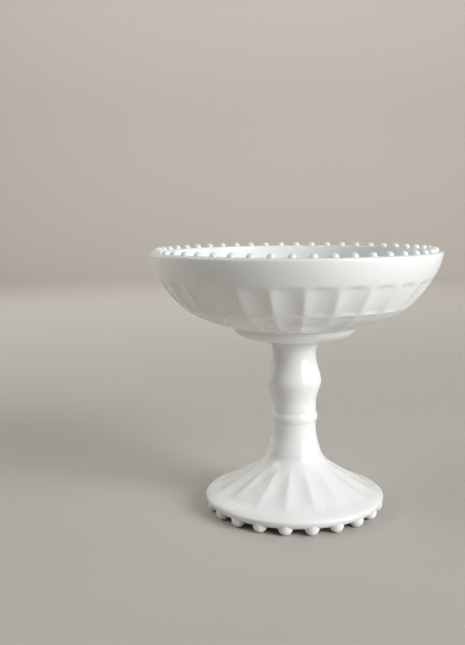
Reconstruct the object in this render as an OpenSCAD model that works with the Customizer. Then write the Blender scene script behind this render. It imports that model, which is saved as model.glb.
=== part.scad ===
// Pedestal bowl in opal glass: a shallow panelled bowl with a beaded rim, carried on a
// collar, a turned stem and a fluted bell foot that stands on a ring of beads.
// Millimetres, +Z up, origin on the table under the middle of the foot.

/* [Bowl] */
// Widest diameter of the bowl, across the lip
rim_d = 191; // [165:1:230]
// Height of the bowl, from its flat base to the land under the rim beads
bowl_h = 49.3; // [41:0.1:60]
// Diameter of the flat base of the bowl
base_d = 83; // [70:1:100]
// Thickness of the bowl's wall and floor
bowl_wall = 5; // [3.8:0.1:6.5]
// Radius of the rounded outer edge of the lip
lip_r = 2.2; // [1:0.1:3.5]
// Diameter at the break between the upper and the lower panels
break_d = 150; // [128:1:166]
// Height of that break above the bowl's base
break_h = 14.3; // [10:0.1:18]
// Height of the plain band between the panels and the rim land
band_h = 15.5; // [9:0.1:19]
// Number of panels round the bowl
panel_n = 28; // [20:1:36]
// Hollow of an upper panel at its middle
panel_depth = 1.1; // [0.5:0.1:1.8]
// Hollow of a lower panel at its middle
facet_depth = 1; // [0.5:0.1:1.6]
// Diameter where the lower panels end and the smooth base begins
facet_end_d = 98; // [88:1:110]
// Angle of the first edge between panels, from the front
panel_turn = 4; // [0:0.5:12]

/* [Rim beads] */
// Number of beads on the rim
rim_bead_n = 48; // [32:1:60]
// Diameter of a rim bead
rim_bead_d = 5; // [3.6:0.1:6.4]
// Height of a rim bead above the land
rim_bead_h = 2.7; // [1.6:0.1:3.4]
// Distance from the lip's edge in to the middle of the rim beads
rim_bead_inset = 5.5; // [4:0.1:9]
// Angle of the first rim bead, from the front
rim_bead_turn = -0.8; // [-3.5:0.1:3.5]

/* [Collar] */
// Step in from the bowl's base to the collar's edge
collar_step = 0.5; // [0.2:0.1:3]
// Height of the collar
collar_h = 9.6; // [7:0.1:14]
// Height of the collar's upright edge
collar_edge = 0.8; // [0.4:0.1:2]

/* [Stem] */
// Height of the stem
stem_h = 76.4; // [58:0.2:100]
// Diameter of the stem where it meets the collar
stem_top_d = 37; // [30:0.2:44]
// Diameter of the neck above the knop
neck_d = 28.8; // [23:0.2:34]
// Diameter of the knop
knop_d = 36.4; // [30:0.2:46]
// Height of the knop above the stem's lower end
knop_z = 48.8; // [42:0.2:60]
// Diameter of the waist below the knop
waist_d = 29.2; // [23:0.2:34]
// Diameter of the small ring
ring_d = 31.8; // [29:0.2:38]
// Height of the small ring above the stem's lower end
ring_z = 24.6; // [18:0.2:28]
// Diameter of the stem where it meets the foot
stem_foot_d = 35; // [30:0.2:42]

/* [Foot] */
// Widest diameter of the foot
foot_d = 120; // [100:1:150]
// Height of the foot, from the table to the lower end of the stem
foot_h = 38.2; // [30:0.2:50]
// Diameter of the foot at the top of its flank
flank_top_d = 52; // [46:1:64]
// Height of the top of the flank above the table
flank_top_z = 28.8; // [24:0.2:34]
// Diameter of the foot where the flank turns into the rounded shoulder
shoulder_d = 97; // [80:1:108]
// Height of that turn above the table
shoulder_z = 15; // [13:0.2:20]
// Height of the foot's widest point above the table
foot_edge_z = 9.1; // [8:0.1:11]
// Distance from the foot's edge in to its flat underside
land_inset = 4.4; // [3:0.1:6]
// Thickness of the foot's wall
foot_wall = 5.5; // [4.4:0.1:7]
// Thickness of the foot under the stem
crown_t = 7.7; // [5:0.1:12]
// Number of flutes round the foot
flute_n = 16; // [10:1:24]
// Length of a flute
flute_l = 36; // [26:1:44]
// Hollow of a flute at its middle
flute_depth = 1.6; // [0.6:0.1:2.4]
// Angle of the first ridge between flutes, from the front
flute_turn = -6; // [-12:0.5:12]

/* [Foot beads] */
// Number of beads under the foot
foot_bead_n = 21; // [14:1:28]
// Diameter of a foot bead
foot_bead_d = 9.2; // [7:0.2:11.2]
// Height of a foot bead, from the table to the foot
foot_bead_h = 4.2; // [3:0.1:5.2]
// Depth of the small flat worn on the bottom of each foot bead
foot_bead_flat = 0.1; // [0.02:0.02:0.3]
// Distance from the foot's edge in to the middle of the foot beads
foot_bead_inset = 5; // [4.8:0.1:8]
// Angle of the first foot bead, from the front
foot_bead_turn = 11.7; // [0:0.1:17]

/* [Hidden] */
$fn = 120;
glass = [0.93, 0.93, 0.91];

// Heights of the joints, from the table up
z_stem = foot_h;
z_collar = z_stem + stem_h;
z_bowl = z_collar + collar_h;
z_land = z_bowl + bowl_h;
z_break = z_bowl + break_h;
z_lip = z_land - lip_r;
z_band = z_land - band_h;

rim_r = rim_d / 2;
break_r = break_d / 2;
base_r = base_d / 2;
rim_circle_r = rim_r - rim_bead_inset;
rim_in = rim_circle_r - rim_bead_d / 2 - 0.6;
collar_r = base_r - collar_step;
foot_r = foot_d / 2;
foot_circle_r = foot_r - foot_bead_inset;
foot_in = foot_circle_r - foot_bead_d / 2 - 0.3;

// A point and a direction on a smooth curve with four handles
function bez(p, t) =
    pow(1 - t, 3) * p[0] + 3 * t * pow(1 - t, 2) * p[1]
    + 3 * t * t * (1 - t) * p[2] + pow(t, 3) * p[3];
function dir(p, t) =
    let (v = 3 * pow(1 - t, 2) * (p[1] - p[0]) + 6 * t * (1 - t) * (p[2] - p[1])
        + 3 * t * t * (p[3] - p[2]))
    v / norm(v);
function curve(p, n) = [for (i = [0:n]) bez(p, i / n)];
function tail(list) = [for (i = [1:len(list) - 1]) list[i]];
function flip(list) = [for (i = [len(list) - 1:-1:0]) list[i]];

// The same curve moved to its right-hand side by a wall, kept inside a radius and a height
function inner(p, n, wall, r_max, z_max) =
    [for (i = [0:n]) let (q = bez(p, i / n), d = dir(p, i / n))
        [max(0, min(r_max, q[0] + wall * d[1])), min(z_max, q[1] - wall * d[0])]];

// Outside of the bowl: lip to break, then break to base
wall_curve = [[rim_r, z_lip],
    [rim_r - 0.07 * (rim_r - break_r), z_lip - 0.29 * (z_lip - z_break)],
    [break_r + 0.515 * (rim_r - break_r), z_break + 0.27 * (z_lip - z_break)],
    [break_r, z_break]];
base_curve = [[break_r, z_break],
    [break_r - 0.18 * (break_r - base_r), z_break - 0.39 * break_h],
    [base_r + 0.45 * (break_r - base_r), z_bowl + 0.2 * break_h],
    [base_r, z_bowl]];

// Outside of the foot: stem to flank, flank, rounded shoulder, and the roll under the edge
flank_a = [flank_top_d / 2, flank_top_z];
flank_b = [shoulder_d / 2, shoulder_z];
sweep_curve = [[stem_foot_d / 2 + 0.2, foot_h],
    [stem_foot_d / 2 + 0.6, foot_h - 3],
    [flank_a[0] - 4.5, flank_a[1] + 3],
    flank_a];
flank_curve = [flank_a, flank_a + [6.8, -4.6], flank_b + [-6.2, 3.8], flank_b];
shoulder_curve = [flank_b, flank_b + [4.2, -2.6],
    [foot_r, foot_edge_z + 2], [foot_r, foot_edge_z]];
roll_curve = [[foot_r, foot_edge_z], [foot_r, foot_edge_z - 3],
    [foot_r - land_inset + 1.4, foot_bead_h], [foot_r - land_inset, foot_bead_h]];

module bowl() {
    color(glass) difference() {
        rotate_extrude() polygon(concat(
            [[0, z_bowl]],
            flip(curve(base_curve, 5)),
            tail(flip(curve(wall_curve, 6))),
            [for (a = [30:30:90]) [rim_r - lip_r + lip_r * cos(a), z_lip + lip_r * sin(a)]],
            [[rim_in + 0.5, z_land], [rim_in, z_land - 0.5]],
            inner(wall_curve, 6, bowl_wall, rim_in, z_land - 2),
            tail(inner(base_curve, 5, bowl_wall, rim_in, z_land - 2)),
            [[0, z_bowl + bowl_wall]]));
        for (i = [0:panel_n - 1]) rotate([0, 0, panel_turn + (i + 0.5) * 360 / panel_n]) {
            panel_cutter();
            facet_cutter();
        }
    }
}

// Half the pitch of the panels, seen from the axis
half_a = 180 / panel_n;
// Upper panel: from the plain band to the break, a straight round-bottomed cut
panel_top = [for (i = [0:24]) if (bez(wall_curve, i / 24)[1] >= z_band) bez(wall_curve, i / 24)];
panel_a = panel_top[len(panel_top) - 1];
panel_v = (panel_a - [break_r, z_break]) / norm(panel_a - [break_r, z_break]);
panel_m = [for (i = [0:24]) bez(wall_curve, i / 24)];
panel_bulge = max([for (q = panel_m)
    (q - [break_r, z_break]) * [panel_v[1], -panel_v[0]]]);
panel_mid = (panel_a + [break_r, z_break]) / 2;
panel_w = panel_mid[0] * sin(half_a);
panel_sag = panel_depth + panel_mid[0] * (1 - cos(half_a));
panel_r = panel_w * panel_w / (2 * panel_sag);

module panel_cutter() {
    c = panel_mid + (panel_bulge - panel_depth + panel_r) * [panel_v[1], -panel_v[0]];
    translate([0, -c[0], c[1]])
        rotate([atan2(panel_v[0], panel_v[1]), 0, 0])
            cylinder(h = 1.7 * norm(panel_a - [break_r, z_break]), r = panel_r, center = true);
}

// Lower panel: from the break to the smooth base, a round-bottomed cut along the curve
facet_row = [for (i = [0:40]) if (bez(base_curve, i / 40)[0] >= facet_end_d / 2)
    bez(base_curve, i / 40)];
facet_b = facet_row[len(facet_row) - 1];
facet_l = norm([break_r, z_break] - facet_b);
facet_v = ([break_r, z_break] - facet_b) / facet_l;
facet_mid = ([break_r, z_break] + facet_b) / 2;
facet_bulge = max([for (q = facet_row) (q - facet_b) * [facet_v[1], -facet_v[0]]]);
facet_sag = facet_bulge - facet_depth + 0.1;
facet_arc = (facet_l * facet_l / 4 + facet_sag * facet_sag) / (2 * facet_sag);
facet_w = facet_mid[0] * sin(half_a);
facet_r = facet_w * facet_w / (2 * (facet_depth + facet_mid[0] * (1 - cos(half_a))));

module facet_cutter() {
    c = facet_mid + (facet_bulge - facet_depth + facet_r) * [facet_v[1], -facet_v[0]];
    translate([0, -c[0], c[1]])
        rotate([atan2(facet_v[0], facet_v[1]), 0, 0])
            rotate_extrude() difference() {
                translate([0, -facet_l / 2])
                    square([facet_r + facet_sag + 0.5, facet_l]);
                translate([facet_r + facet_arc, 0]) circle(r = facet_arc);
            }
}

module rim_beads() {
    color(glass) for (i = [0:rim_bead_n - 1])
        rotate([0, 0, rim_bead_turn + i * 360 / rim_bead_n])
            translate([0, -rim_circle_r, z_land]) difference() {
                translate([0, 0, rim_bead_h - rim_bead_d / 2]) sphere(d = rim_bead_d, $fn = 48);
                translate([-rim_bead_d, -rim_bead_d, -2 * rim_bead_d]) cube(2 * rim_bead_d);
            }
}

module bowl_collar() {
    r = collar_r;
    t = stem_top_d / 2 + 0.1;
    belly = [[r, collar_h - collar_edge],
        [r - 1.2, 0.5 * (collar_h - collar_edge)],
        [r - 0.27 * (r - t), 0.12 * collar_h],
        [t, 0]];
    color(glass) translate([0, 0, z_collar]) rotate_extrude() polygon(concat(
        [[0, 0]], flip(curve(belly, 7)), [[r, collar_h], [0, collar_h]]));
}

module stem() {
    neck = neck_d / 2;
    knop = knop_d / 2;
    waist = waist_d / 2;
    throat_z = stem_h - 9.1;
    waist_z = knop_z - 15;
    flare_z = ring_z - 8.6;
    throat = [[stem_top_d / 2, stem_h], [neck + 1.6, stem_h - 1.6],
        [neck + 0.1, stem_h - 5], [neck, throat_z]];
    shoulder = [[neck, throat_z], [neck - 0.1, throat_z - 6],
        [knop - 0.8, knop_z + 6], [knop, knop_z]];
    belly = [[knop, knop_z], [knop - 0.8, knop_z - 5.5],
        [waist + 0.1, waist_z + 5.5], [waist, waist_z]];
    flare = [[waist, flare_z], [waist, flare_z - 4],
        [stem_foot_d / 2 - 1.4, 5.5], [stem_foot_d / 2, 0]];
    ring_s = 3.6;
    color(glass) translate([0, 0, z_stem]) union() {
        rotate_extrude() polygon(concat([[0, stem_h]], curve(throat, 5),
            tail(curve(shoulder, 5)), tail(curve(belly, 5)), curve(flare, 5), [[0, 0]]));
        rotate_extrude() translate([ring_d / 2 - ring_s, ring_z]) circle(r = ring_s);
    }
}

// Flute: a barrel-shaped cut laid along the flank, deepest at its middle
flute_v = (flank_a - flank_b) / norm(flank_a - flank_b);
flute_p = bez(flank_curve, 0.74);
flute_w = flute_p[0] * sin(180 / flute_n);
flute_r = flute_w * flute_w / (2 * (flute_depth + flute_p[0] * (1 - cos(180 / flute_n))));
flute_half = flute_l / 2;
flute_arc = (flute_half * flute_half + flute_depth * flute_depth) / (2 * flute_depth);

module flute_cutter() {
    c = flute_p + (flute_r - flute_depth) * [flute_v[1], -flute_v[0]];
    l = 2 * sqrt(flute_arc * flute_arc - pow(flute_arc - flute_r, 2));
    translate([0, -c[0], c[1]])
        rotate([atan2(flute_v[0], flute_v[1]), 0, 0])
            rotate_extrude() intersection() {
                translate([flute_r - flute_arc, 0]) circle(r = flute_arc);
                translate([0, -l]) square([flute_r + 1, 2 * l]);
            }
}

module foot() {
    hollow = concat(
        inner(sweep_curve, 5, foot_wall, foot_in, foot_h - crown_t),
        tail(inner(flank_curve, 4, foot_wall, foot_in, foot_h - crown_t)),
        tail(inner(shoulder_curve, 5, foot_wall, foot_in, foot_h - crown_t)));
    color(glass) difference() {
        rotate_extrude() polygon(concat(
            [[0, foot_h]],
            curve(sweep_curve, 5), tail(curve(flank_curve, 4)),
            tail(curve(shoulder_curve, 6)), tail(curve(roll_curve, 4)),
            [[foot_in, foot_bead_h]],
            flip(hollow), [[0, foot_h - crown_t]]));
        for (i = [0:flute_n - 1]) rotate([0, 0, flute_turn + (i + 0.5) * 360 / flute_n])
            flute_cutter();
    }
}

// Half outline of a foot bead: a dome on its worn flat, then straight up into the foot
bead_rise = foot_bead_h + foot_bead_flat;
bead_start = acos(foot_bead_h / bead_rise);
bead_line = concat([[0, 0]],
    [for (i = [0:6]) let (a = bead_start + (90 - bead_start) * i / 6)
        [foot_bead_d / 2 * sin(a), foot_bead_h - bead_rise * cos(a)]],
    [[foot_bead_d / 2, foot_edge_z], [0, foot_edge_z]]);

module foot_beads() {
    color(glass) for (i = [0:foot_bead_n - 1])
        rotate([0, 0, foot_bead_turn + i * 360 / foot_bead_n]) difference() {
            translate([0, -foot_circle_r, 0]) rotate_extrude($fn = 48) polygon(bead_line);
            rotate_extrude() polygon(concat(curve(roll_curve, 4),
                [[foot_in - 1, foot_bead_h], [foot_in - 1, foot_edge_z + 1],
                [foot_r, foot_edge_z + 1]]));
        }
}

bowl();
rim_beads();
bowl_collar();
stem();
foot();
foot_beads();
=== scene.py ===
"""Looks for a pedestal bowl in white opal glass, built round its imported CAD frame.

Bowl, collar, stem and foot are turned outlines with their panels or flutes pressed in, and
the beads are small domes copied round. Shapes are worked out in millimetres, as (r, z)
points with z up from the table, and turned into metres when a mesh is made.
"""

import math

import bpy
import numpy as np
from mathutils import Matrix, Vector


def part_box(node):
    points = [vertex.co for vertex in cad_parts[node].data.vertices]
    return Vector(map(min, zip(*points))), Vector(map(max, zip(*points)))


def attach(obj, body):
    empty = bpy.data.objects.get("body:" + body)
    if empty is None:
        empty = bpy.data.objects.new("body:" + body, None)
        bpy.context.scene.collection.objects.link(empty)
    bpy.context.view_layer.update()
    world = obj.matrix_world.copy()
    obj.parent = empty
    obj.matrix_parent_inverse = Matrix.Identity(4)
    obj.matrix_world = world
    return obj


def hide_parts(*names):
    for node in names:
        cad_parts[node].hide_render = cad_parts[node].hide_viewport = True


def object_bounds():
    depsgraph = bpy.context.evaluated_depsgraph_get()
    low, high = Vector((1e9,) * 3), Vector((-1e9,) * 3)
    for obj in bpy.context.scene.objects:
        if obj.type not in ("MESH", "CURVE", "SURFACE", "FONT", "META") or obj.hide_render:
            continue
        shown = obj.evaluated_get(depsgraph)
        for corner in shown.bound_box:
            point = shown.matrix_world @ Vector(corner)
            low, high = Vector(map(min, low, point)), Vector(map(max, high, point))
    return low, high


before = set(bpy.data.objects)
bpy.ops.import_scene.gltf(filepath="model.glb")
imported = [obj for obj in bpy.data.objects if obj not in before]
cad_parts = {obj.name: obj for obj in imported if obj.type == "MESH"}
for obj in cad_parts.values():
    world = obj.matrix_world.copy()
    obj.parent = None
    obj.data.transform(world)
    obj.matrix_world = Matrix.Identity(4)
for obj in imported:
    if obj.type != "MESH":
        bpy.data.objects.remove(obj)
cad_box = [list(corner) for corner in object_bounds()]

MM = 0.001
TAU = 2 * math.pi


# ---------------------------------------------------------------- sizes, from the frame
def span(node):
    """Lowest and highest corner of a CAD node, in millimetres."""
    low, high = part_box(node)
    return np.array(low) / MM, np.array(high) / MM


bowl_low, bowl_high = span("bowl")
beads_top = span("rim_beads")[1][2]
collar_low, collar_high = span("bowl_collar")
stem_low, stem_high = span("stem")
foot_low, foot_high = span("foot")

# The bowl: from its base out to the break, up past the plain band's edge to the lip
RIM_R = bowl_high[0]
Z_BASE = bowl_low[2]
Z_LAND = bowl_high[2]
LIP_R = 1.5
INNER_LIP_R = 0.9
WALL = 5.0
BREAK_R = 75.0
BREAK_Z = Z_BASE + 14.3
BASE_R = 41.5
BAND_Z = Z_LAND - 15.5
FACET_END_R = 49.0
FLOOR_FROM_R = 56
PANELS = 28
PANEL_TURN = math.radians(4.0)
PANEL_COLUMNS = 18
PANEL_RIDGE = 0.09

RIM_BEADS = 48
RIM_BEAD_R = 2.5
RIM_CIRCLE_R = RIM_R - 5.5
RIM_BEAD_TURN = math.radians(-0.8)

COLLAR_R = collar_high[0]
STEM_TOP_R = stem_high[0]
STEM_H = stem_high[2] - stem_low[2]
STEM_FOOT_R = 18.2

# The foot: a sweep out from the stem, a fluted flank, and a shoulder down to a rolled edge
FOOT_R = foot_high[0]
FOOT_LAND = foot_low[2]
FOOT_TOP = foot_high[2]
FOOT_WALL = 5.5
FOOT_CEILING = FOOT_TOP - 7.7
FOOT_EDGE_Z = 9.1
LAND_INSET = 4.4
FLANK_TOP = np.array([26.0, 28.8])
FLANK_END = np.array([48.5, 15.0])
FLUTE_TOP = (20.5, 33.4)
FLUTE_END = (57.5, 11.1)
FLUTES = 16
FLUTE_TURN = math.radians(-6.0)
FLUTE_COLUMNS = 28
FLUTE_RIDGE = 0.16

FOOT_BEADS = 21
FOOT_BEAD_R = 4.6
FOOT_CIRCLE_R = FOOT_R - 5.0
FOOT_BEAD_TURN = math.radians(11.7)

# How far a piece reaches into its neighbour, so that no light leaks through the joint
TUCK = 0.4

# Columns round the plain turned pieces, and the spacing of points along their outlines
COLLAR_COLUMNS = 144
STEM_COLUMNS = 112
OUTLINE_STEP = 1.0


# ---------------------------------------------------------------- small maths
def smooth(x):
    """0 below 0, 1 above 1, with an eased step between."""
    x = np.clip(x, 0.0, 1.0)
    return x * x * (3 - 2 * x)


def bezier(handles, n):
    """n + 1 points of a cubic curve from four (r, z) handles."""
    t = np.linspace(0, 1, n + 1)[:, None]
    p = np.array(handles, float)
    return ((1 - t) ** 3 * p[0] + 3 * t * (1 - t) ** 2 * p[1]
            + 3 * t * t * (1 - t) * p[2] + t ** 3 * p[3])


def arc(centre, radius, a0, a1, n):
    """Points on a circle in the (r, z) plane, angles in degrees."""
    a = np.radians(np.linspace(a0, a1, n + 1))
    return np.stack([centre[0] + radius * np.cos(a), centre[1] + radius * np.sin(a)], 1)


def chain(*runs):
    """Joins runs of points into one line, leaving out repeated ones."""
    points = np.concatenate([np.array(run, float).reshape(-1, 2) for run in runs])
    keep = [0]
    for i in range(1, len(points)):
        if np.linalg.norm(points[i] - points[keep[-1]]) > 1e-4:
            keep.append(i)
    return points[keep]


def resample(points, step):
    """The same line with a point about every step millimetres; corners stay."""
    out = [points[0]]
    for a, b in zip(points[:-1], points[1:]):
        n = max(1, int(math.ceil(np.linalg.norm(b - a) / step)))
        out += [a + (b - a) * k / n for k in range(1, n + 1)]
    return np.array(out)


def lengths(points):
    """Distance along a line at each of its points."""
    steps = np.linalg.norm(np.diff(points, axis=0), axis=1)
    return np.concatenate([[0], np.cumsum(steps)])


def normals(points):
    """Unit normals on the right-hand side of a line, which is outside for a lathed outline."""
    t = np.gradient(points, axis=0)
    n = np.stack([t[:, 1], -t[:, 0]], 1)
    return n / np.maximum(np.linalg.norm(n, axis=1)[:, None], 1e-9)


def offset(points, wall):
    """The line moved to its left-hand side by a wall."""
    return points - normals(points) * wall


# ---------------------------------------------------------------- mesh making
def make_piece(name, verts, faces, material, node):
    """A smooth-shaded mesh piece that stands for a CAD node."""
    mesh = bpy.data.meshes.new(name)
    mesh.from_pydata((verts * MM).tolist(), [], faces)
    mesh.validate()
    mesh.polygons.foreach_set("use_smooth", [True] * len(mesh.polygons))
    mesh.materials.append(material)
    mesh.update()
    piece = bpy.data.objects.new(name, mesh)
    bpy.context.scene.collection.objects.link(piece)
    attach(piece, "root")
    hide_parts(node)
    return piece


def grid(x, y, z, bottom, top):
    """Closes rings of points, given from the bottom up, with a point at each end."""
    rows, columns = x.shape
    verts = np.concatenate([np.stack([x, y, z], -1).reshape(-1, 3), [bottom, top]])
    first = rows * columns
    last = (rows - 1) * columns
    i, j = np.meshgrid(np.arange(rows - 1), np.arange(columns), indexing="ij")
    k = (j + 1) % columns
    quads = np.stack([i * columns + j, i * columns + k,
                      (i + 1) * columns + k, (i + 1) * columns + j], -1).reshape(-1, 4)
    faces = quads.tolist()
    for a in range(columns):
        b = (a + 1) % columns
        faces.append([first, b, a])
        faces.append([first + 1, last + a, last + b])
    return verts, faces


def lathe(line, columns, dent=None, turn=0.0):
    """Turns a closed outline, which starts and ends on the axis, into a mesh.

    dent(theta) gives how far each ring is pressed in along its normal, in millimetres.
    turn is where the first column stands, so that ridges fall on columns.
    """
    theta = turn + np.arange(columns) * TAU / columns
    ring = line[1:-1]
    r = np.repeat(ring[:, :1], columns, 1)
    z = np.repeat(ring[:, 1:], columns, 1)
    if dent is not None:
        n = normals(line)[1:-1]
        d = dent(theta)[1:-1]
        r = r - d * n[:, :1]
        z = z - d * n[:, 1:]
    return grid(r * np.sin(theta), -r * np.cos(theta), z,
                [0, 0, line[0][1]], [0, 0, line[-1][1]])


def across(theta, count, turn):
    """Where theta lies within its panel: -1 and 1 at the edges, 0 in the middle."""
    return ((theta - turn) * count / TAU % 1.0) * 2 - 1


def hollow(u, edge):
    """Cross-section of a pressed hollow: 1 in the middle, 0 at its softened edges."""
    w = np.sqrt((1 - np.abs(u)) ** 2 + edge * edge) - edge
    w = w / (math.sqrt(1 + edge * edge) - edge)
    return 2 * w - w * w


# ---------------------------------------------------------------- outlines
def wall_curve():
    """Outside of the bowl from the break up to the lip."""
    z_lip = Z_LAND - LIP_R
    tall = z_lip - BREAK_Z
    wide = RIM_R - BREAK_R
    return bezier([(BREAK_R, BREAK_Z),
                   (BREAK_R + 0.515 * wide, BREAK_Z + 0.27 * tall),
                   (RIM_R - 0.07 * wide, z_lip - 0.29 * tall),
                   (RIM_R, z_lip)], 48)


def base_curve():
    """Outside of the bowl from its base out to the break."""
    tall = BREAK_Z - Z_BASE
    wide = BREAK_R - BASE_R
    return bezier([(BASE_R, Z_BASE),
                   (BASE_R + 0.45 * wide, Z_BASE + 0.2 * tall),
                   (BREAK_R - 0.18 * wide, BREAK_Z - 0.39 * tall),
                   (BREAK_R, BREAK_Z)], 34)


def nearest(line, point):
    """Which point of a line lies nearest to a given one."""
    return np.argmin(np.linalg.norm(line - np.array(point), axis=1))


def build_bowl(material):
    """The bowl, with an upper and a lower ring of pressed panels."""
    bead_margin = 0.6
    lip_drop = 3
    wall = wall_curve()
    base = base_curve()
    outside = chain(base, wall)
    rim_in = RIM_CIRCLE_R - RIM_BEAD_R - bead_margin
    inside = offset(outside, WALL)[::-1]
    inside[:, 0] = np.minimum(inside[:, 0], rim_in)
    inside = inside[inside[:, 1] < Z_LAND - lip_drop]
    # the floor leaves the wall along its slope and ends level at the axis
    floor_z = inside[-1][1]
    inside = inside[inside[:, 0] > FLOOR_FROM_R]
    ahead = (inside[-1] - inside[-2]) / np.linalg.norm(inside[-1] - inside[-2])
    floor = bezier([tuple(inside[-1]), tuple(inside[-1] + 13 * ahead), (24, floor_z),
                    (0, floor_z)], 26)
    lip = arc((RIM_R - LIP_R, Z_LAND - LIP_R), LIP_R, 0, 90, 10)
    land = arc((rim_in + INNER_LIP_R, Z_LAND - INNER_LIP_R), INNER_LIP_R, 90, 180, 5)
    line = chain([(0, Z_BASE), (BASE_R - 2, Z_BASE)], outside, lip, land, inside, floor)
    along = lengths(line)

    # where along the outline the panels change over and end
    s_break = along[nearest(line, (BREAK_R, BREAK_Z))]
    s_band = along[nearest(line, wall[np.argmin(np.abs(wall[:, 1] - BAND_Z))])]
    s_end = along[nearest(line, base[np.argmin(np.abs(base[:, 0] - FACET_END_R))])]
    half = math.pi / PANELS
    band_sag = 1.1
    band_ease = 4.6
    break_ease = 3.4
    upper_depth = 0.3
    upper_swell = 0.45
    arch_sag = 1.6
    arch_ease = 2.6
    end_ease = 3.5
    lower_depth = 0.55

    def dent(theta):
        u = across(theta, PANELS, PANEL_TURN)[None, :]
        s = along[:, None]
        chord = line[:, :1] * (1 - math.cos(half))
        # upper panels: a soft straight shoulder under the band, deepest half way down
        below_band = s_band - s - band_sag * np.abs(u) ** 6
        above_break = s - s_break
        v = np.clip(above_break / (s_band - s_break), 0, 1)
        ramp = smooth(below_band / band_ease)
        press = upper_depth + upper_swell * np.sin(math.pi * v)
        upper = ramp * smooth((above_break + 0.4) / break_ease) * press
        facet = chord * ramp * smooth((above_break + 1.0) / break_ease)
        upper = np.where(above_break >= 0, upper + facet, 0)
        # lower panels: arched tops, running in to the smooth base
        below_arch = s_break - s - arch_sag * np.abs(u) ** 5
        above_end = s - s_end
        lower = smooth(below_arch / arch_ease) * smooth(above_end / end_ease)
        lower = lower * (lower_depth + chord)
        lower = np.where((above_break < 0) & (above_end > 0), lower, 0)
        outer = s < s_band + 1
        return (upper + lower) * hollow(u, PANEL_RIDGE) * outer

    verts, faces = lathe(line, PANELS * PANEL_COLUMNS, dent, PANEL_TURN)
    return make_piece("bowl_glass", verts, faces, material, "bowl")


def bead_ring(name, count, turn, verts, faces, material, node):
    """Copies one bead, made at the front, round the axis as separate closed solids."""
    all_verts = []
    all_faces = []
    for k in range(count):
        a = turn + k * TAU / count
        spin = np.array([[math.cos(a), -math.sin(a), 0], [math.sin(a), math.cos(a), 0],
                         [0, 0, 1]])
        start = k * len(verts)
        all_verts.append(verts @ spin.T)
        all_faces += [[start + i for i in face] for face in faces]
    return make_piece(name, np.concatenate(all_verts), all_faces, material, node)


def build_rim_beads(material):
    """Round beads on the land, each with a small fillet at its foot."""
    centre = beads_top - RIM_BEAD_R
    fillet = 0.55
    swing = 12.0
    sink = 0.3
    columns = 28
    dome = arc((0, centre), RIM_BEAD_R, swing, 90, 12)
    start = dome[0]
    skirt = bezier([(start[0] + fillet, Z_LAND), (start[0] + 0.25 * fillet, Z_LAND),
                    (start[0] + 0.05, Z_LAND + 0.25), tuple(start)], 4)
    line = chain([(0, Z_LAND - sink), (start[0] + fillet, Z_LAND - sink)], skirt, dome,
                 [(0, beads_top)])
    verts, faces = lathe(line, columns)
    verts = verts + [0, -RIM_CIRCLE_R, 0]
    return bead_ring("rim_beads_glass", RIM_BEADS, RIM_BEAD_TURN, verts, faces,
                     material, "rim_beads")


def build_collar(material):
    """The rounded wafer of glass between the stem and the bowl."""
    low = collar_low[2]
    high = collar_high[2]
    tall = high - low
    throat = STEM_TOP_R
    edge_z = high - 0.9
    skirt_r = COLLAR_R + 1.7
    belly = bezier([(throat, low), (COLLAR_R - 0.27 * (COLLAR_R - throat), low + 0.12 * tall),
                    (COLLAR_R - 1.2, low + 0.46 * tall), (COLLAR_R, edge_z)], 40)
    # a small fillet runs out under the bowl, so that no gap shows between them
    fillet = bezier([(COLLAR_R, edge_z), (COLLAR_R, high - 0.3),
                     (COLLAR_R + 0.7, high + 0.05), (skirt_r, high + 0.25)], 8)
    line = chain([(0, low - TUCK)], [(throat - 0.3, low - TUCK)], belly, fillet,
                 [(skirt_r, high + TUCK)], [(0, high + TUCK)])
    line = resample(line, OUTLINE_STEP)
    verts, faces = lathe(line, COLLAR_COLUMNS)
    return make_piece("collar_glass", verts, faces, material, "bowl_collar")


def build_stem(material):
    """The stem from the collar down: neck, knop, waist, small ring and flare.

    Its heights are above the foot's top until the outline is lifted to its place.
    """
    h = STEM_H
    neck = 14.4
    neck_z = h - 9.1
    knop = 18.1
    knop_z = 48.8
    waist = 14.6
    waist_z = knop_z - 15
    ring = 15.6
    ring_z = 24.6
    throat = bezier([(STEM_TOP_R, h), (neck + 1.6, h - 1.6), (neck + 0.1, h - 5),
                     (neck, neck_z)], 14)
    shoulder = bezier([(neck, neck_z), (neck - 0.1, h - 15.1), (knop - 0.3, knop_z + 5),
                       (knop, knop_z)], 18)
    belly = bezier([(knop, knop_z), (knop - 0.3, knop_z - 4.5), (waist + 0.1, knop_z - 9.5),
                    (waist, waist_z)], 18)
    ring_top = bezier([(waist, ring_z + 4.0), (waist, ring_z + 2.6), (ring, ring_z + 2.0),
                       (ring, ring_z)], 10)
    ring_under = bezier([(ring, ring_z), (ring, ring_z - 2.2), (waist, ring_z - 2.6),
                         (waist, ring_z - 4.6)], 10)
    flare = bezier([(waist, ring_z - 8.6), (waist, ring_z - 12.6), (STEM_FOOT_R - 1.8, 5.0),
                    (STEM_FOOT_R, 0)], 18)
    side = chain(throat, shoulder, belly, ring_top, ring_under, flare)[::-1]
    line = chain([(0, -TUCK), (STEM_FOOT_R + 0.08, -TUCK)], side, [(0, h)])
    line[:, 1] += stem_low[2]
    line = resample(line, OUTLINE_STEP)
    verts, faces = lathe(line, STEM_COLUMNS)
    return make_piece("stem_glass", verts, faces, material, "stem")


# Handles of the rolled edge, from the widest point down to the flat land
ROLL = [(FOOT_R, FOOT_EDGE_Z), (FOOT_R, FOOT_EDGE_Z - 3),
        (FOOT_R - LAND_INSET + 1.4, FOOT_LAND), (FOOT_R - LAND_INSET, FOOT_LAND)]


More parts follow.
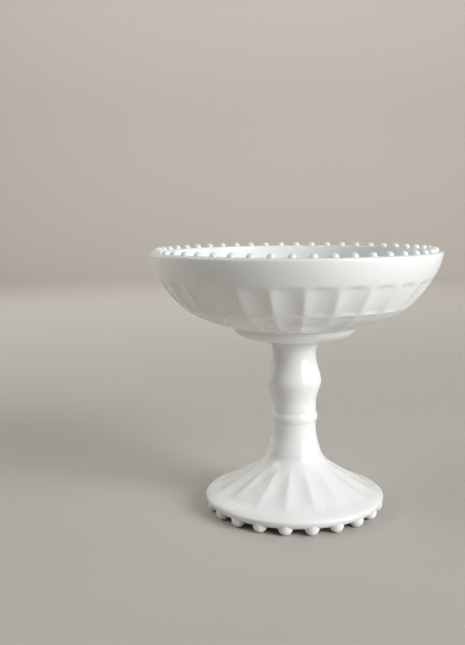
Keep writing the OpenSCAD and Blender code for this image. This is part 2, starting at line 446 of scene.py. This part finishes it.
def build_foot(material):
    """The bell foot, hollow underneath, with flutes pressed into its flank."""
    bead_margin = 0.3
    sweep = bezier([(STEM_FOOT_R, FOOT_TOP), (STEM_FOOT_R + 1.0, FOOT_TOP - 2.8),
                    tuple(FLANK_TOP + [-4.5, 3]), tuple(FLANK_TOP)], 20)
    flank = bezier([tuple(FLANK_TOP), tuple(FLANK_TOP + [6.8, -4.6]),
                    tuple(FLANK_END + [-6.2, 3.8]), tuple(FLANK_END)], 28)
    shoulder = bezier([tuple(FLANK_END), tuple(FLANK_END + [4.2, -2.6]),
                       (FOOT_R, FOOT_EDGE_Z + 2), (FOOT_R, FOOT_EDGE_Z)], 26)
    roll = bezier(ROLL, 16)
    foot_in = FOOT_CIRCLE_R - FOOT_BEAD_R - bead_margin
    outside = chain(sweep, flank, shoulder)
    under = offset(outside[::-1], FOOT_WALL)
    under[:, 0] = np.minimum(under[:, 0], foot_in)
    under[:, 1] = np.minimum(under[:, 1], FOOT_CEILING)
    under = under[under[:, 1] > FOOT_LAND + 0.8]
    line = chain([(0, under[-1][1])], under[::-1],
                 [(foot_in, FOOT_LAND + 0.6), (foot_in + 0.6, FOOT_LAND)],
                 roll[::-1], outside[::-1],
                 [(STEM_FOOT_R - 0.18, FOOT_TOP + TUCK), (0, FOOT_TOP + TUCK)])
    along = lengths(line)
    s_top = along[nearest(line, FLUTE_TOP)]
    s_low = along[nearest(line, FLUTE_END)]
    half = math.pi / FLUTES

    def dent(theta):
        u = across(theta, FLUTES, FLUTE_TURN)[None, :]
        s = along[:, None]
        on = (s > s_low) & (s < s_top)
        v = np.clip((s_top - s) / (s_top - s_low), 0, 1)
        chord = line[:, :1] * (1 - math.cos(half))
        fade = smooth(v / 0.35) * smooth((1 - v) / 0.45)
        depth = 0.5 + 0.3 * v
        return np.where(on, fade * (depth + 0.7 * chord), 0) * hollow(u, FLUTE_RIDGE)

    verts, faces = lathe(line, FLUTES * FLUTE_COLUMNS, dent, FLUTE_TURN)
    return make_piece("foot_glass", verts, faces, material, "foot")


def under_foot(r):
    """Height of the foot's underside at a radius: its flat land, then the rolled edge."""
    roll = bezier(ROLL, 60)[::-1]
    return np.interp(r, roll[:, 0], roll[:, 1])


def build_foot_beads(material):
    """Domes on small worn flats, each run up into the rolled edge with a fillet."""
    columns = 40
    flat = 0.1
    fillet = 1.0
    edge_gap = 0.03
    sink = 0.6
    rise = FOOT_LAND + flat
    phi = np.arange(columns) * TAU / columns
    start = math.acos(FOOT_LAND / rise)

    def ring(radius, z):
        x = radius * np.sin(phi)
        out = FOOT_CIRCLE_R + radius * np.cos(phi)
        r = np.hypot(x, out)
        fit = np.minimum(1, (FOOT_R - edge_gap) / r)
        return x * fit, -out * fit, z

    def roof(radius):
        x, y, _ = ring(radius, None)
        return under_foot(np.hypot(x, y))

    wall_top = roof(FOOT_BEAD_R) - fillet
    rings = []
    for a in np.linspace(start, math.pi / 2, 9):
        z = np.full(columns, FOOT_LAND - rise * math.cos(a))
        rings.append(ring(FOOT_BEAD_R * math.sin(a), np.minimum(z, wall_top)))
    rings.append(ring(FOOT_BEAD_R, np.maximum(FOOT_LAND - fillet, wall_top)))
    skirt_top = roof(FOOT_BEAD_R + fillet)
    for t in np.linspace(0, math.pi / 2, 6)[1:]:
        z = wall_top + (skirt_top - wall_top) * math.sin(t)
        rings.append(ring(FOOT_BEAD_R + fillet * (1 - math.cos(t)), z))
    rings.append(ring(FOOT_BEAD_R, skirt_top + sink))
    x, y, z = (np.stack(part) for part in zip(*rings))
    verts, faces = grid(x, y, z, [0, -FOOT_CIRCLE_R, 0], [0, -FOOT_CIRCLE_R, z[-1].mean()])
    return bead_ring("foot_beads_glass", FOOT_BEADS, FOOT_BEAD_TURN, verts, faces,
                     material, "foot_beads")


# ---------------------------------------------------------------- materials
def opal_glass():
    """White opal glass: fire-polished gloss over a milky body with faint clouds."""
    material = bpy.data.materials.new("opal_glass")
    material.use_nodes = True
    nodes = material.node_tree.nodes
    links = material.node_tree.links
    shader = nodes["Principled BSDF"]
    place = nodes.new("ShaderNodeTexCoord")

    def noise(scale, detail, distortion=0.0):
        texture = nodes.new("ShaderNodeTexNoise")
        texture.inputs["Scale"].default_value = scale
        texture.inputs["Detail"].default_value = detail
        texture.inputs["Distortion"].default_value = distortion
        links.new(place.outputs["Object"], texture.inputs["Vector"])
        return texture

    # colour: faint clouds in the milky body
    clouds = noise(16, 4, 0.6)
    tint = nodes.new("ShaderNodeValToRGB")
    dark, light = tint.color_ramp.elements
    dark.position = 0.3
    dark.color = (0.80, 0.81, 0.80, 1)
    light.position = 0.7
    light.color = (0.87, 0.875, 0.87, 1)
    links.new(clouds.outputs["Fac"], tint.inputs["Fac"])
    links.new(tint.outputs["Color"], shader.inputs["Base Color"])

    # gloss: a little uneven, as handled glass is
    wear = noise(90, 6)
    rough = nodes.new("ShaderNodeMapRange")
    rough.inputs["From Min"].default_value = 0.35
    rough.inputs["From Max"].default_value = 0.75
    rough.inputs["To Min"].default_value = 0.19
    rough.inputs["To Max"].default_value = 0.31
    links.new(wear.outputs["Fac"], rough.inputs["Value"])
    links.new(rough.outputs["Result"], shader.inputs["Roughness"])

    # surface: the slight ripple that pressing leaves
    ripple = noise(55, 2)
    bump = nodes.new("ShaderNodeBump")
    bump.inputs["Strength"].default_value = 0.25
    bump.inputs["Distance"].default_value = 0.0006
    links.new(ripple.outputs["Fac"], bump.inputs["Height"])
    links.new(bump.outputs["Normal"], shader.inputs["Normal"])

    shader.inputs["IOR"].default_value = 1.5
    shader.inputs["Subsurface Weight"].default_value = 0.3
    shader.inputs["Subsurface Radius"].default_value = (1.0, 0.88, 0.74)
    shader.inputs["Subsurface Scale"].default_value = 0.003
    return material


def floor_material():
    """A plain pale matt surface."""
    material = bpy.data.materials.new("pale_floor")
    material.use_nodes = True
    shader = material.node_tree.nodes["Principled BSDF"]
    shader.inputs["Base Color"].default_value = (0.52, 0.49, 0.45, 1)
    shader.inputs["Roughness"].default_value = 0.7
    return material


# ---------------------------------------------------------------- stage, camera and lights
def build_floor():
    """A pale round sweep: flat under the object, curving up all round it."""
    flat = 2.0
    bend = 0.6
    height = 3.2
    columns = 96
    bend_steps = 16
    edge = [(flat + bend * math.sin(a), bend * (1 - math.cos(a)))
            for a in np.linspace(0, math.pi / 2, bend_steps)]
    edge.append((flat + bend, height))
    turns = [k * TAU / columns for k in range(columns)]
    verts = [(r * math.cos(a), r * math.sin(a), z) for r, z in edge for a in turns]
    faces = [list(range(columns))]
    for i in range(len(edge) - 1):
        for j in range(columns):
            k = (j + 1) % columns
            faces.append([i * columns + j, (i + 1) * columns + j,
                          (i + 1) * columns + k, i * columns + k])
    mesh = bpy.data.meshes.new("floor_sweep")
    mesh.from_pydata(verts, [], faces)
    mesh.polygons.foreach_set("use_smooth", [False] + [True] * (len(faces) - 1))
    mesh.materials.append(floor_material())
    floor = bpy.data.objects.new("floor_sweep", mesh)
    bpy.context.scene.collection.objects.link(floor)
    floor.location.z = cad_box[0][2]


def build_camera():
    """Just above the rim, a little to one side of straight on."""
    distance = 544.4 * MM
    above_top = 21.8 * MM
    yaw, pitch, roll = (math.radians(a) for a in (-4.342, 7.542, -0.45))
    ahead = Vector((math.sin(yaw) * math.cos(pitch), math.cos(yaw) * math.cos(pitch),
                    -math.sin(pitch)))
    right = Vector((math.cos(yaw), -math.sin(yaw), 0))
    up = right.cross(ahead)
    turned_right = right * math.cos(roll) + up * math.sin(roll)
    turned_up = up * math.cos(roll) - right * math.sin(roll)
    data = bpy.data.cameras.new("camera")
    data.sensor_fit = "VERTICAL"
    data.sensor_height = 36
    data.lens = 45.88
    data.clip_start = 0.01
    camera = bpy.data.objects.new("camera", data)
    turn = Matrix((turned_right, turned_up, -ahead)).transposed().to_4x4()
    place = Vector((0, -distance, cad_box[1][2] + above_top))
    camera.matrix_world = Matrix.Translation(place) @ turn
    bpy.context.scene.collection.objects.link(camera)
    bpy.context.scene.camera = camera


def area_light(name, place, aim, size, power, colour):
    """A soft rectangular light at a place, in metres, turned to face a point."""
    data = bpy.data.lights.new(name, "AREA")
    data.shape = "RECTANGLE"
    data.size, data.size_y = size
    data.energy = power
    data.color = colour
    light = bpy.data.objects.new(name, data)
    direction = Vector(aim) - Vector(place)
    light.rotation_euler = direction.to_track_quat("-Z", "Y").to_euler()
    light.location = place
    bpy.context.scene.collection.objects.link(light)


def build_lights():
    """A cool key from the right, soft fills from the left and back, and a lit backdrop."""
    middle = (0, 0, 0.1)
    backdrop = (0, 2.6, 0.3)
    area_light("key", place=(1.22, -0.80, 0.68), aim=middle, size=(0.85, 0.85),
               power=26.5, colour=(0.965, 0.985, 1.0))
    area_light("fill", place=(-1.15, -0.1, 1.15), aim=middle, size=(0.8, 0.7),
               power=6.5, colour=(0.98, 1.0, 0.97))
    area_light("kick", place=(-1.3, 0.75, 0.45), aim=middle, size=(1.2, 0.8),
               power=2.4, colour=(1.0, 1.0, 0.93))
    area_light("back", place=(-0.5, 1.2, 1.1), aim=middle, size=(1.2, 0.6),
               power=3, colour=(0.98, 0.99, 1.0))
    area_light("sweep", place=(0, 1.2, 1.5), aim=backdrop, size=(2.0, 0.4),
               power=20, colour=(1.0, 0.99, 0.97))
    world = bpy.data.worlds.new("studio")
    world.use_nodes = True
    background = world.node_tree.nodes["Background"]
    background.inputs["Color"].default_value = (0.93, 0.95, 1.0, 1)
    background.inputs["Strength"].default_value = 0.10
    bpy.context.scene.world = world


# ---------------------------------------------------------------- the scene
glass = opal_glass()
build_bowl(glass)
build_rim_beads(glass)
build_collar(glass)
build_stem(glass)
build_foot(glass)
build_foot_beads(glass)
build_floor()
build_camera()
build_lights()
bpy.context.scene.view_settings.view_transform = "Standard"

bpy.context.view_layer.update()
